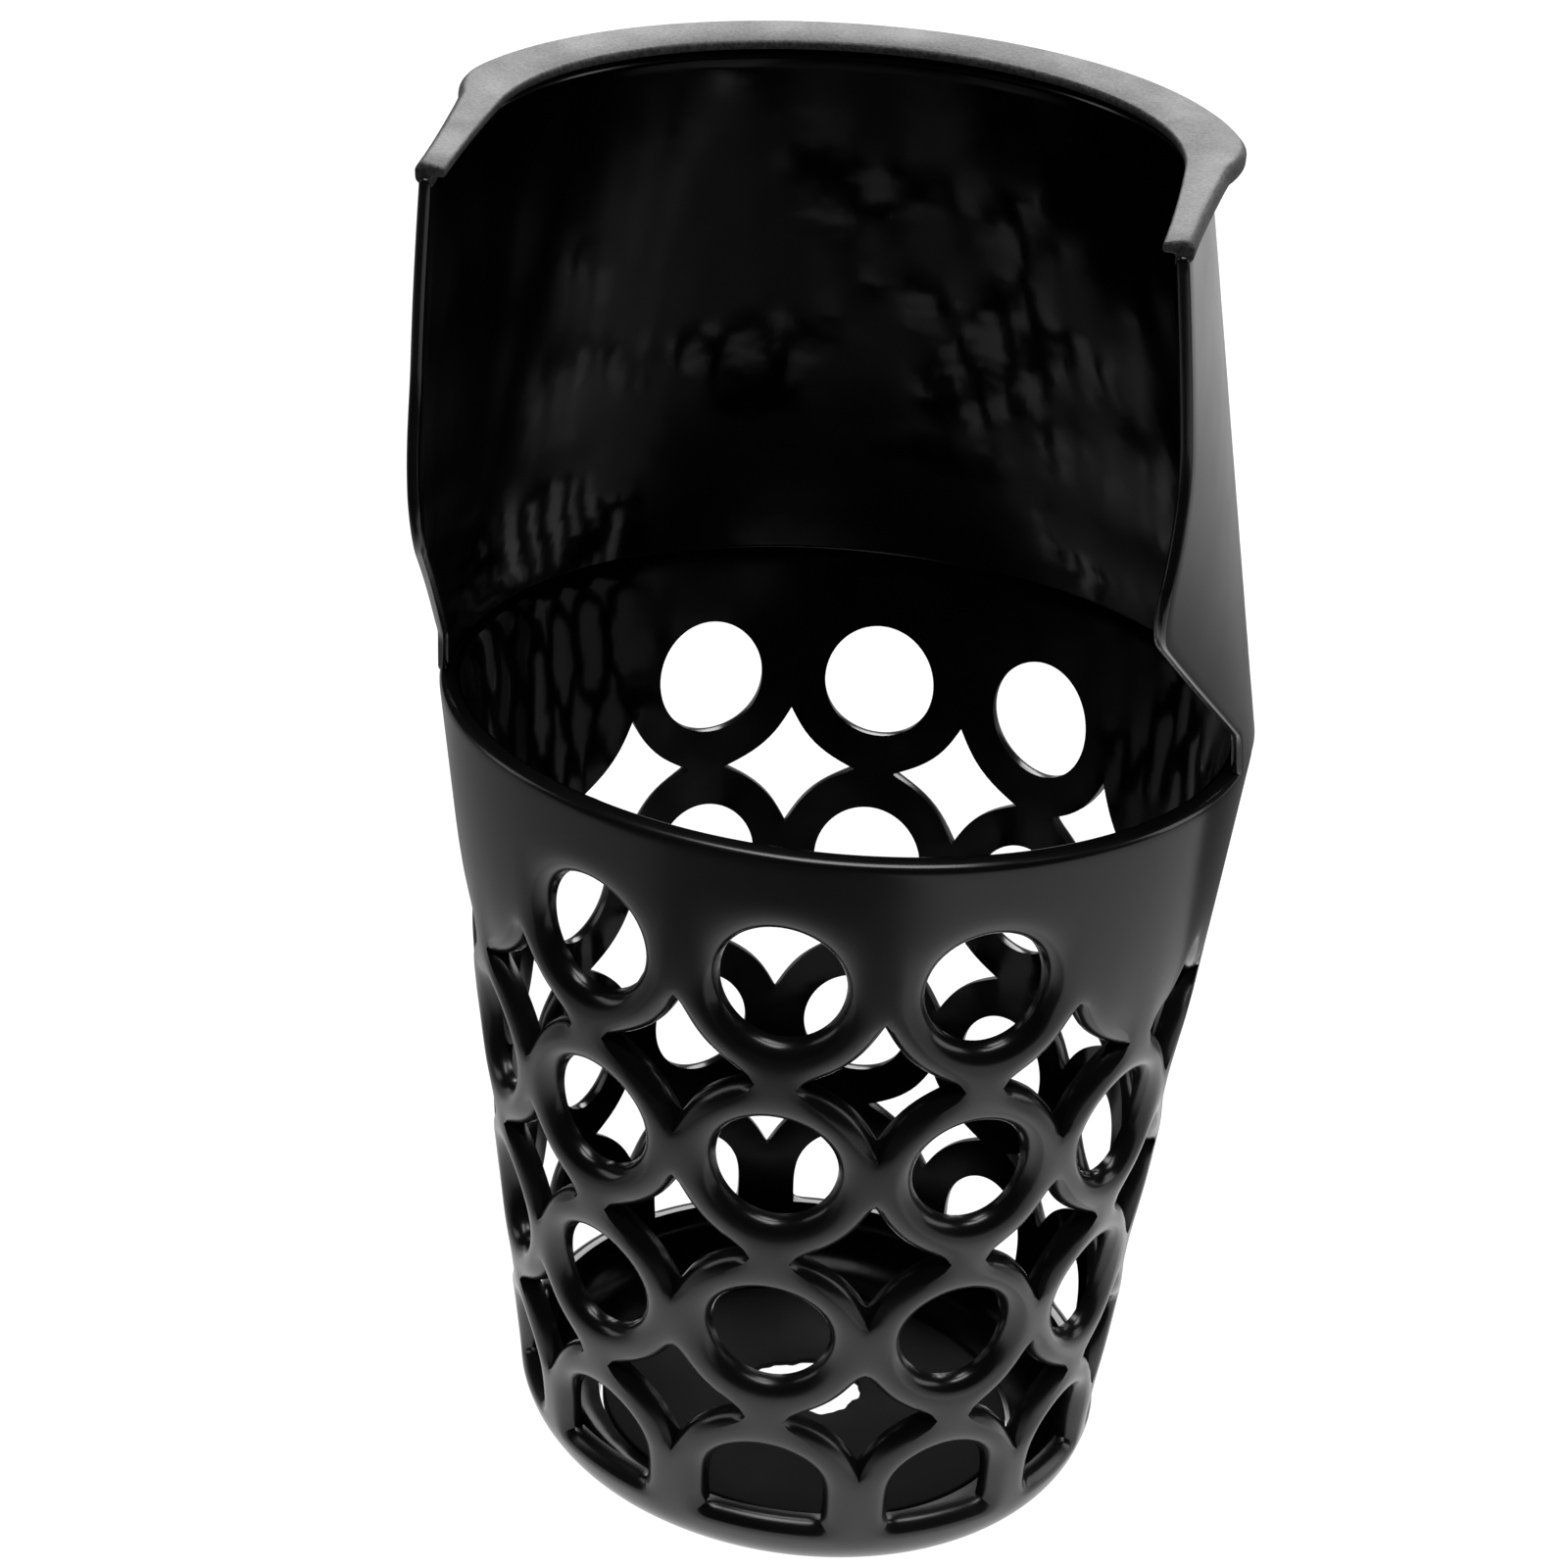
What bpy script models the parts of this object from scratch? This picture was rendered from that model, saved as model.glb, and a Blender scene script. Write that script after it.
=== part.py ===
"""Hanging holder: an oval perforated tub with a solid hooded back and a C-shaped hanging lip.

The tub stands on z = 0, the open front faces -Y and the hooded back is towards +Y.
The origin is below the middle of the bounding box. All sizes are in metres.
"""
import math

import bmesh
import bpy
from mathutils import Matrix, Vector

MM = 0.001

# Overall heights
TOTAL_HEIGHT = 208.0 * MM
RIM_HEIGHT = 128.0 * MM

# Tub: an oval that widens evenly from the base to the rim
BASE_HALF_WIDTH = 42.2 * MM
BASE_HALF_DEPTH = 34.2 * MM
RIM_HALF_WIDTH = 51.4 * MM
RIM_HALF_DEPTH = 39.7 * MM
TUB_WALL = 3.0 * MM
BASE_ROUND = 11.0 * MM
RIM_ROUND = 0.8 * MM
AROUND = 40

# Pattern of ring holes, diamonds between them and arches at the base
COLUMNS = 12
ROW_HEIGHTS = (108.0 * MM, 78.6 * MM, 49.0 * MM, 19.0 * MM)
FULL_RING_ROWS = 3
COLUMN_SPREAD = 0.069
HOLE_WIDTH_SHARE = 0.315
HOLE_HALF_HEIGHT = 8.7 * MM
ARCH_DROP = 6.0 * MM
DIAMOND_WIDTH_SHARE = 0.39
DIAMOND_HALF_HEIGHT = 9.5 * MM
DIAMOND_WAIST = 0.36
HOLE_POINTS = 12
DIAMOND_POINTS = 12
CUTTER_DEPTH = 12.0 * MM

# Floor plate
FLOOR_THICKNESS = 2.8 * MM
FLOOR_HOLE_HALF_WIDTH = 8.0 * MM
FLOOR_HOLE_HALF_DEPTH = 5.0 * MM
FLOOR_HOLE_BACK = 2.6 * MM  # how far behind the tub's axis its centre is

# Hooded back: the same oval at the rim, leaning forward to a narrower U at the top
HOOD_WALL = 2.4 * MM
HOOD_TOP_HALF_WIDTH = 37.4 * MM
HOOD_TOP_HALF_DEPTH = 32.4 * MM
HOOD_TOP_ARM_DEPTH = 110.0 * MM
HOOD_LEAN = 26.0 * MM
HOOD_STATIONS = 5

# Front edge of the hood, seen from the side
EDGE_TOP_REACH = 48.0 * MM
EDGE_MID_REACH = 45.0 * MM
EDGE_MID_HEIGHT = 183.0 * MM
WING_REACH = 49.5 * MM
WING_HEIGHT = 168.5 * MM
WING_ROUND = 5.0 * MM
NOTCH_REACH = 9.0 * MM
NOTCH_RISE = 2.2 * MM

# Hanging lip
LIP_THICKNESS = 2.1 * MM
LIP_WIDTH = 6.8 * MM
LIP_RISE = 0.5 * MM
LIP_EDGE_ROUND = 0.7 * MM
LIP_END_WIDTH = 3.4 * MM
LIP_TAPER_SHARE = 0.16
LIP_STATIONS = 45
TANGENT_STEP = 0.001  # radians each way, for the direction along the lip

GAP = 0.3 * MM

# The tub's axis stands this far behind the origin, which is below the middle of the bounding box
AXIS_Y = 4.6 * MM


def clear_scene():
    for item in list(bpy.data.objects):
        bpy.data.objects.remove(item, do_unlink=True)


def make_collection(name):
    group = bpy.data.collections.new(name)
    bpy.context.scene.collection.children.link(group)
    return group


def make_material(name, color, roughness):
    material = bpy.data.materials.new(name)
    material.use_nodes = True
    shader = material.node_tree.nodes["Principled BSDF"]
    shader.inputs["Base Color"].default_value = (*color, 1.0)
    shader.inputs["Roughness"].default_value = roughness
    shader.inputs["Metallic"].default_value = 0.0
    return material


def mix(low, high, share):
    return low + (high - low) * share


# --- section curves -------------------------------------------------------


def tub_half_axes(z):
    share = z / RIM_HEIGHT
    half_width = mix(BASE_HALF_WIDTH, RIM_HALF_WIDTH, share)
    half_depth = mix(BASE_HALF_DEPTH, RIM_HALF_DEPTH, share)
    return half_width, half_depth


def oval_ring(half_width, half_depth, z, points=AROUND):
    """Points anticlockwise seen from above, with the front between the first and the last."""
    ring = []
    for step in range(points):
        angle = 2 * math.pi * (step + 0.5) / points
        x = half_width * math.sin(angle)
        y = AXIS_Y - half_depth * math.cos(angle)
        ring.append(Vector((x, y, z)))
    return ring


def hood_point(angle, z, inset):
    """A point of the hood's wall. Angle 0 is the front, and the arms run straighter than the back."""
    share = (z - RIM_HEIGHT) / (TOTAL_HEIGHT - RIM_HEIGHT)
    half_width = mix(RIM_HALF_WIDTH, HOOD_TOP_HALF_WIDTH, share) - inset
    half_depth = mix(RIM_HALF_DEPTH, HOOD_TOP_HALF_DEPTH, share) - inset
    arm_depth = mix(RIM_HALF_DEPTH, HOOD_TOP_ARM_DEPTH, share) - inset
    reach = arm_depth if math.cos(angle) > 0 else half_depth
    x = half_width * math.sin(angle)
    y = AXIS_Y - HOOD_LEAN * share - reach * math.cos(angle)
    return Vector((x, y, z))


# --- mesh helpers -----------------------------------------------------------


def loft(name, rings, material, group, closed):
    """Skin matching rings of points. A closed loft joins the last ring to the first, else the ends are capped."""
    mesh_builder = bmesh.new()
    rows = [[mesh_builder.verts.new(point) for point in ring] for ring in rings]
    count = len(rows[0])
    pairs = list(zip(rows, rows[1:]))
    if closed:
        pairs.append((rows[-1], rows[0]))
    else:
        mesh_builder.faces.new(rows[0])
        mesh_builder.faces.new(rows[-1])
    for low, high in pairs:
        for step in range(count):
            after = (step + 1) % count
            mesh_builder.faces.new((low[step], low[after], high[after], high[step]))
    bmesh.ops.recalc_face_normals(mesh_builder, faces=mesh_builder.faces)
    mesh = bpy.data.meshes.new(name)
    mesh_builder.to_mesh(mesh)
    mesh_builder.free()
    return add_object(name, mesh, material, group)


def add_object(name, mesh, material, group):
    item = bpy.data.objects.new(name, mesh)
    group.objects.link(item)
    mesh.materials.append(material)
    mesh.shade_smooth()
    mesh.set_sharp_from_angle(angle=math.radians(35))
    return item


def hide_cutter(item):
    item.hide_render = True
    item.display_type = "WIRE"


def cut(item, cutter):
    hide_cutter(cutter)
    difference = item.modifiers.new("cut_" + cutter.name, "BOOLEAN")
    difference.operation = "DIFFERENCE"
    difference.solver = "EXACT"
    difference.object = cutter


# --- tub --------------------------------------------------------------------


def tub_profile():
    """Inset from the outer wall and height, up the outside and down the inside."""
    profile = []
    quarter = [math.radians(angle) for angle in (90, 67.5, 45, 22.5, 0)]
    for angle in quarter:
        inset = BASE_ROUND * (1 - math.cos(angle))
        profile.append((inset, BASE_ROUND * (1 - math.sin(angle))))
    profile.append((0.0, RIM_HEIGHT - RIM_ROUND))
    profile.append((RIM_ROUND, RIM_HEIGHT))
    profile.append((TUB_WALL - RIM_ROUND, RIM_HEIGHT))
    profile.append((TUB_WALL, RIM_HEIGHT - RIM_ROUND))
    inner_round = BASE_ROUND - TUB_WALL
    for angle in reversed(quarter):
        inset = TUB_WALL + inner_round * (1 - math.cos(angle))
        profile.append((inset, BASE_ROUND - inner_round * math.sin(angle)))
    return profile


def tub_ring(inset, z):
    half_width, half_depth = tub_half_axes(z)
    return oval_ring(half_width - inset, half_depth - inset, z)


def bend_radius(angle, z):
    """Radius of the oval's curve at this angle, at the middle of the tub's wall."""
    half_width, half_depth = tub_half_axes(z)
    stretch = math.hypot(half_width * math.cos(angle), half_depth * math.sin(angle))
    return stretch ** 3 / (half_width * half_depth) - TUB_WALL / 2


def wall_frame(angle, z):
    """Local axes at the middle of the tub's wall: X along the wall, Y up it and Z outwards.

    Also gives how far the wall runs for each radian, and the radius that it bends to.
    """
    half_width, half_depth = tub_half_axes(z)
    middle = TUB_WALL / 2
    point = Vector((
        (half_width - middle) * math.sin(angle),
        AXIS_Y - (half_depth - middle) * math.cos(angle),
        z,
    ))
    along = Vector((half_width * math.cos(angle), half_depth * math.sin(angle), 0.0))
    high_width, high_depth = tub_half_axes(z + 1.0)
    up = Vector((
        (high_width - half_width) * math.sin(angle),
        -(high_depth - half_depth) * math.cos(angle),
        1.0,
    ))
    outward = along.cross(up).normalized()
    up = outward.cross(along).normalized()
    axes = Matrix((along.normalized(), up, outward)).transposed().to_4x4()
    return Matrix.Translation(point) @ axes, along.length, bend_radius(angle, z)


def column_angle(column, z):
    """Columns spread slightly towards the sides lower down, so that they stand straight up in a front view."""
    angle = 2 * math.pi * column / COLUMNS
    drop = ROW_HEIGHTS[0] - z
    return angle + COLUMN_SPREAD * (drop / RIM_HEIGHT) * 2 * math.sin(2 * angle)


def has_ring(column, row):
    """The top row has rings only on the front three and the back three columns."""
    from_front = min(column, COLUMNS - column)
    from_back = abs(COLUMNS / 2 - column)
    return row > 0 or min(from_front, from_back) <= 1


def prism(builder, outline, frame, radius):
    """Add a prism with this outline, given in the wall's own axes. It narrows inwards as the wall's bend does."""
    part = bmesh.ops.create_cone(
        builder, cap_ends=True, segments=len(outline),
        radius1=1.0, radius2=1.0, depth=CUTTER_DEPTH,
    )
    for vert in part["verts"]:
        angle = math.atan2(vert.co.y, vert.co.x)
        step = round(angle / (2 * math.pi) * len(outline)) % len(outline)
        x, y = outline[step]
        vert.co = frame @ Vector((x * (radius + vert.co.z) / radius, y, vert.co.z))


def ring_outline(half_width):
    outline = []
    for step in range(HOLE_POINTS):
        angle = 2 * math.pi * step / HOLE_POINTS
        outline.append((half_width * math.cos(angle), HOLE_HALF_HEIGHT * math.sin(angle)))
    return outline


def arch_outline(half_width):
    """A ring whose lower half runs straight down to a flat sill."""
    outline = []
    level = HOLE_POINTS // 2
    for step, (x, y) in enumerate(ring_outline(half_width)):
        if step > level:
            at_corner = step in (level + 1, HOLE_POINTS - 1)
            outline.append((math.copysign(half_width, x) if at_corner else x, -ARCH_DROP))
        else:
            outline.append((x, y))
    return outline


def diamond_outline(half_width):
    """Four points joined by concave sides."""
    outline = []
    for step in range(DIAMOND_POINTS):
        angle = 2 * math.pi * step / DIAMOND_POINTS
        fold = abs(math.sin(2 * angle))
        reach = mix(1.0, DIAMOND_WAIST * math.sqrt(2), fold)
        outline.append((reach * half_width * math.cos(angle), reach * DIAMOND_HALF_HEIGHT * math.sin(angle)))
    return outline


def make_pattern_cutter(group):
    builder = bmesh.new()
    spacing = 2 * math.pi / COLUMNS
    for row, z in enumerate(ROW_HEIGHTS):
        for column in range(COLUMNS):
            if not has_ring(column, row):
                continue
            frame, stretch, radius = wall_frame(column_angle(column, z), z)
            half_width = HOLE_WIDTH_SHARE * spacing * stretch
            outline = ring_outline(half_width) if row < FULL_RING_ROWS else arch_outline(half_width)
            prism(builder, outline, frame, radius)
    for upper, lower in zip(ROW_HEIGHTS, ROW_HEIGHTS[1:]):
        z = (upper + lower) / 2
        for column in range(COLUMNS):
            frame, stretch, radius = wall_frame(column_angle(column + 0.5, z), z)
            prism(builder, diamond_outline(DIAMOND_WIDTH_SHARE * spacing * stretch), frame, radius)
    bmesh.ops.recalc_face_normals(builder, faces=builder.faces)
    mesh = bpy.data.meshes.new("pattern_cutter")
    builder.to_mesh(mesh)
    builder.free()
    cutter = bpy.data.objects.new("pattern_cutter", mesh)
    group.objects.link(cutter)
    return cutter


def make_basket(material, group, cutters):
    rings = [tub_ring(inset, z) for inset, z in tub_profile()]
    basket = loft("basket", rings, material, group, closed=True)
    cut(basket, make_pattern_cutter(cutters))
    return basket


# --- floor ------------------------------------------------------------------


def make_floor_plate(material, group):
    half_width, half_depth = tub_half_axes(0.0)
    inset = BASE_ROUND + GAP
    outer = (half_width - inset, half_depth - inset)
    hole = (FLOOR_HOLE_HALF_WIDTH, FLOOR_HOLE_HALF_DEPTH)
    back = Vector((0.0, FLOOR_HOLE_BACK, 0.0))
    rings = [
        [point + back for point in oval_ring(*hole, 0.0)],
        oval_ring(*outer, 0.0),
        oval_ring(*outer, FLOOR_THICKNESS),
        [point + back for point in oval_ring(*hole, FLOOR_THICKNESS)],
    ]
    return loft("floor_plate", rings, material, group, closed=True)


# --- hooded back --------------------------------------------------------------


def hood_ring(z, inset):
    return [hood_point(2 * math.pi * (step + 0.5) / AROUND, z, inset) for step in range(AROUND)]


def round_corner(before, corner, after, radius, steps=5):
    """Points of the arc that rounds a corner."""
    to_before = (before - corner).normalized()
    to_after = (after - corner).normalized()
    half = math.acos(to_before.dot(to_after)) / 2
    centre = corner + (to_before + to_after).normalized() * (radius / math.sin(half))
    start = corner + to_before * (radius / math.tan(half)) - centre
    end = corner + to_after * (radius / math.tan(half)) - centre
    sweep = math.pi - 2 * half
    points = []
    for step in range(steps + 1):
        share = step / steps
        a = math.sin((1 - share) * sweep) / math.sin(sweep)
        b = math.sin(share * sweep) / math.sin(sweep)
        points.append(centre + start * a + end * b)
    return points


def front_edge_outline():
    """Side outline (y, z) of everything in front of the hood's edge."""
    top = Vector((-EDGE_TOP_REACH, TOTAL_HEIGHT))
    middle = Vector((-EDGE_MID_REACH, EDGE_MID_HEIGHT))
    wing = Vector((-WING_REACH, WING_HEIGHT))
    notch = Vector((-NOTCH_REACH, RIM_HEIGHT + NOTCH_RISE))
    far = -3 * RIM_HALF_WIDTH
    clear = 10 * MM
    outline = [Vector((far, top.y + clear)), Vector((top.x, top.y + clear)), top]
    outline += round_corner(top, middle, wing, 2 * WING_ROUND)
    outline += round_corner(middle, wing, notch, WING_ROUND)
    outline += [notch, Vector((notch.x, RIM_HEIGHT - clear)), Vector((far, RIM_HEIGHT - clear))]
    return [Vector((point.x + AXIS_Y, point.y)) for point in outline]


def make_front_cutter(group):
    reach = 2 * RIM_HALF_WIDTH
    outline = front_edge_outline()
    builder = bmesh.new()
    face = builder.faces.new([builder.verts.new((-reach, point.x, point.y)) for point in outline])
    grown = bmesh.ops.extrude_face_region(builder, geom=[face])
    moved = [item for item in grown["geom"] if isinstance(item, bmesh.types.BMVert)]
    bmesh.ops.translate(builder, verts=moved, vec=(2 * reach, 0, 0))
    bmesh.ops.recalc_face_normals(builder, faces=builder.faces)
    mesh = bpy.data.meshes.new("front_cutter")
    builder.to_mesh(mesh)
    builder.free()
    cutter = bpy.data.objects.new("front_cutter", mesh)
    group.objects.link(cutter)
    return cutter


def make_back_shield(material, group, cutters):
    low = RIM_HEIGHT + GAP
    high = TOTAL_HEIGHT - LIP_RISE - LIP_THICKNESS - GAP
    heights = [mix(low, high, step / (HOOD_STATIONS - 1)) for step in range(HOOD_STATIONS)]
    rings = [hood_ring(z, 0.0) for z in heights]
    rings += [hood_ring(z, HOOD_WALL) for z in reversed(heights)]
    shield = loft("back_shield", rings, material, group, closed=True)
    cut(shield, make_front_cutter(cutters))
    return shield


# --- hanging lip --------------------------------------------------------------


def lip_section(width):
    """Outward distance from the hood's inner face, and height, around the lip's section."""
    under = TOTAL_HEIGHT - LIP_RISE - LIP_THICKNESS
    inner_top = TOTAL_HEIGHT - LIP_RISE
    return (
        (0.0, under),
        (min(HOOD_WALL + GAP, 0.7 * width), under),
        (width - LIP_EDGE_ROUND, under),
        (width, under + LIP_EDGE_ROUND),
        (width, TOTAL_HEIGHT - LIP_EDGE_ROUND),
        (width - LIP_EDGE_ROUND, TOTAL_HEIGHT),
        (0.0, inner_top),
    )


def lip_end_angle():
    return math.acos((EDGE_TOP_REACH - HOOD_LEAN) / HOOD_TOP_ARM_DEPTH)


def make_hanging_lip(material, group):
    first = lip_end_angle()
    last = 2 * math.pi - first
    rings = []
    for station in range(LIP_STATIONS):
        share = station / (LIP_STATIONS - 1)
        angle = mix(first, last, share)
        foot = hood_point(angle, TOTAL_HEIGHT, HOOD_WALL)
        ahead = hood_point(angle + TANGENT_STEP, TOTAL_HEIGHT, HOOD_WALL)
        along = ahead - hood_point(angle - TANGENT_STEP, TOTAL_HEIGHT, HOOD_WALL)
        outward = Vector((along.y, -along.x, 0.0)).normalized()
        to_end = min(share, 1 - share) / LIP_TAPER_SHARE
        width = mix(LIP_END_WIDTH, LIP_WIDTH, math.sin(min(to_end, 1.0) * math.pi / 2))
        rings.append([
            Vector((foot.x, foot.y, 0.0)) + outward * distance + Vector((0.0, 0.0, z))
            for distance, z in lip_section(width)
        ])
    return loft("hanging_lip", rings, material, group, closed=False)


def main():
    clear_scene()
    holder = make_collection("hanging_holder")
    cutters = make_collection("cutters")
    gloss_black = make_material("gloss_black_plastic", (0.012, 0.012, 0.013), 0.22)
    grained_grey = make_material("grained_grey_plastic", (0.17, 0.17, 0.175), 0.6)
    make_basket(gloss_black, holder, cutters)
    make_floor_plate(gloss_black, holder)
    make_back_shield(gloss_black, holder, cutters)
    make_hanging_lip(grained_grey, holder)


main()
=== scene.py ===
# Hanging cup holder: the tub with its ring lattice, its floor, the leaning hood and the grained lip.
# Sizes in the dictionaries are millimetres unless a note says otherwise.
import math

import bmesh
import bpy
from mathutils import Matrix, Vector


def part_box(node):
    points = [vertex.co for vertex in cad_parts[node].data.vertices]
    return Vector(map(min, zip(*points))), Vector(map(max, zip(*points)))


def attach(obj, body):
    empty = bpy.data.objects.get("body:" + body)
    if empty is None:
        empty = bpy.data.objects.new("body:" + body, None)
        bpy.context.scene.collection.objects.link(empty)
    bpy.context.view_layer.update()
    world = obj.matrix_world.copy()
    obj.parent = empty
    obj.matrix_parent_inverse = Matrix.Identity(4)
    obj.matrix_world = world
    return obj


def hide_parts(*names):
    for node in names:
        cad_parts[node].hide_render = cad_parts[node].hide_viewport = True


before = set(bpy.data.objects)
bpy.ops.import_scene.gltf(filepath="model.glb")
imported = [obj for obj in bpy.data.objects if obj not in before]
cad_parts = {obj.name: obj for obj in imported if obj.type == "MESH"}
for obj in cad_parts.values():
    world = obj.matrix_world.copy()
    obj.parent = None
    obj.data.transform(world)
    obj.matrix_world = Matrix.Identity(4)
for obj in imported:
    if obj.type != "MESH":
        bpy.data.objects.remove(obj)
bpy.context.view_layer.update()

mm = 0.001
weldDistance = 0.002     # points this close are one
nearEnough = 0.01        # heights and depths this close are the same
smoothUnder = 50         # degrees: a corner sharper than this is an edge and not a curve
tubLow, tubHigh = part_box("basket")
tubAxis = (tubLow.y + tubHigh.y) / 2 / mm  # the tub's own axis, behind the origin


def toLinear(hexColour):
    # an sRGB hex value such as "1a1a1b" as the linear colour that a shader wants
    channels = [int(hexColour[i:i + 2], 16) / 255 for i in (0, 2, 4)]
    return tuple(c / 12.92 if c <= 0.04045 else ((c + 0.055) / 1.055) ** 2.4 for c in channels) + (1.0,)


def addNode(tree, kind, settings=None, links=None):
    # settings: properties of the node, or input values by socket name
    # links: the output that feeds each socket, by the socket's name
    node = tree.nodes.new(kind)
    for name, value in (settings or {}).items():
        if name in node.inputs:
            node.inputs[name].default_value = value
        else:
            setattr(node, name, value)
    for name, output in (links or {}).items():
        tree.links.new(output, node.inputs[name])
    return node


def perMetre(millimetres):
    # texture scale whose cells are about this wide on Object coordinates in metres
    return 1.0 / (millimetres * mm)


def newMaterial(name):
    material = bpy.data.materials.new(name)
    material.use_nodes = True
    tree = material.node_tree
    return material, tree, tree.nodes["Principled BSDF"]


def colourSteps(tree, factor, low, high, start, end):
    # a ramp from one hex colour to another over part of the factor's range
    ramp = addNode(tree, "ShaderNodeValToRGB", links={"Fac": factor})
    ramp.color_ramp.elements[0].position = start
    ramp.color_ramp.elements[0].color = toLinear(low)
    ramp.color_ramp.elements[1].position = end
    ramp.color_ramp.elements[1].color = toLinear(high)
    return ramp.outputs["Color"]


satinSkin = {
    "colour": "0b0b0c", "worn": "121213",
    "roughness": (0.18, 0.26),
    "cloudSize": 22.0,       # faint clouds where the melt cooled unevenly
    "peelSize": 1.6, "peelHeight": 0.004,
    "swellSize": 16.0, "swellHeight": 0.05,
    "ior": 1.5,
}


def mouldedSatinPolypropylene():
    # Polypropylene from the blasted cavity half of the mould: deep black, with a soft even gloss that
    # blurs what it mirrors, and a barely visible swell where the thick bars shrank.
    material, tree, shader = newMaterial("mouldedSatinPolypropylene")
    place = addNode(tree, "ShaderNodeTexCoord").outputs["Object"]
    clouds = addNode(tree, "ShaderNodeTexNoise",
                     {"Scale": perMetre(satinSkin["cloudSize"]), "Detail": 3.0, "Roughness": 0.55},
                     {"Vector": place}).outputs["Fac"]
    colour = colourSteps(tree, clouds, satinSkin["colour"], satinSkin["worn"], start=0.35, end=0.75)
    tree.links.new(colour, shader.inputs["Base Color"])
    low, high = satinSkin["roughness"]
    gloss = addNode(tree, "ShaderNodeMapRange",
                    {"From Min": 0.3, "From Max": 0.7, "To Min": low, "To Max": high}, {"Value": clouds})
    tree.links.new(gloss.outputs["Result"], shader.inputs["Roughness"])
    swell = addNode(tree, "ShaderNodeTexNoise",
                    {"Scale": perMetre(satinSkin["swellSize"]), "Detail": 1.0},
                    {"Vector": place}).outputs["Fac"]
    broad = addNode(tree, "ShaderNodeBump",
                    {"Strength": 0.35, "Distance": satinSkin["swellHeight"] * mm},
                    {"Height": swell})
    peel = addNode(tree, "ShaderNodeTexNoise",
                   {"Scale": perMetre(satinSkin["peelSize"]), "Detail": 2.0},
                   {"Vector": place}).outputs["Fac"]
    fine = addNode(tree, "ShaderNodeBump",
                   {"Strength": 0.5, "Distance": satinSkin["peelHeight"] * mm},
                   {"Height": peel, "Normal": broad.outputs["Normal"]})
    tree.links.new(fine.outputs["Normal"], shader.inputs["Normal"])
    shader.inputs["IOR"].default_value = satinSkin["ior"]
    return material


polishedCore = {
    "colour": "030304",
    "roughness": (0.08, 0.2), "patchSize": 26.0,   # duller where the part left the core early
    "dragWidth": 1.6, "dragLength": 45.0, "dragHeight": 0.012,
    "rippleSize": 10.0, "rippleHeight": 0.24,      # the face isn't quite flat, which bends what it mirrors
    "ior": 1.2,              # matched, under polypropylene's 1.49, so that it mirrors only faintly
}


def mouldedGlossPolypropylene():
    # The same plastic against the polished core: near mirror gloss, pulled into faint upright streaks
    # where the part dragged off the core, so that reflections have ragged edges.
    material, tree, shader = newMaterial("mouldedGlossPolypropylene")
    place = addNode(tree, "ShaderNodeTexCoord").outputs["Object"]
    across, along = perMetre(polishedCore["dragWidth"]), perMetre(polishedCore["dragLength"])
    upright = addNode(tree, "ShaderNodeMapping", {"Scale": (across, across, along)}, {"Vector": place})
    drag = addNode(tree, "ShaderNodeTexNoise", {"Scale": 1.0, "Detail": 3.0},
                   {"Vector": upright.outputs["Vector"]}).outputs["Fac"]
    ripple = addNode(tree, "ShaderNodeTexNoise",
                     {"Scale": perMetre(polishedCore["rippleSize"]), "Detail": 1.5},
                     {"Vector": place}).outputs["Fac"]
    patches = addNode(tree, "ShaderNodeTexNoise",
                      {"Scale": perMetre(polishedCore["patchSize"]), "Detail": 3.0},
                      {"Vector": place}).outputs["Fac"]
    low, high = polishedCore["roughness"]
    gloss = addNode(tree, "ShaderNodeMapRange",
                    {"From Min": 0.42, "From Max": 0.52, "To Min": low, "To Max": high}, {"Value": patches})
    tree.links.new(gloss.outputs["Result"], shader.inputs["Roughness"])
    broad = addNode(tree, "ShaderNodeBump",
                    {"Strength": 0.6, "Distance": polishedCore["rippleHeight"] * mm},
                    {"Height": ripple})
    streaks = addNode(tree, "ShaderNodeBump",
                      {"Strength": 0.5, "Distance": polishedCore["dragHeight"] * mm},
                      {"Height": drag, "Normal": broad.outputs["Normal"]})
    tree.links.new(streaks.outputs["Normal"], shader.inputs["Normal"])
    shader.inputs["Base Color"].default_value = toLinear(polishedCore["colour"])
    shader.inputs["IOR"].default_value = polishedCore["ior"]
    return material


sparkGrain = {
    "low": "1a1a1b", "high": "48484a",
    "roughness": (0.53, 0.62),
    "grainSize": 0.42,       # spark erosion pits of 0.1 to 0.2 mm, drawn larger so that they show
    "grainHeight": 0.07,
    "patchSize": 7.0,        # patches a little more and a little less matt
    "ior": 1.5,
}


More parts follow.
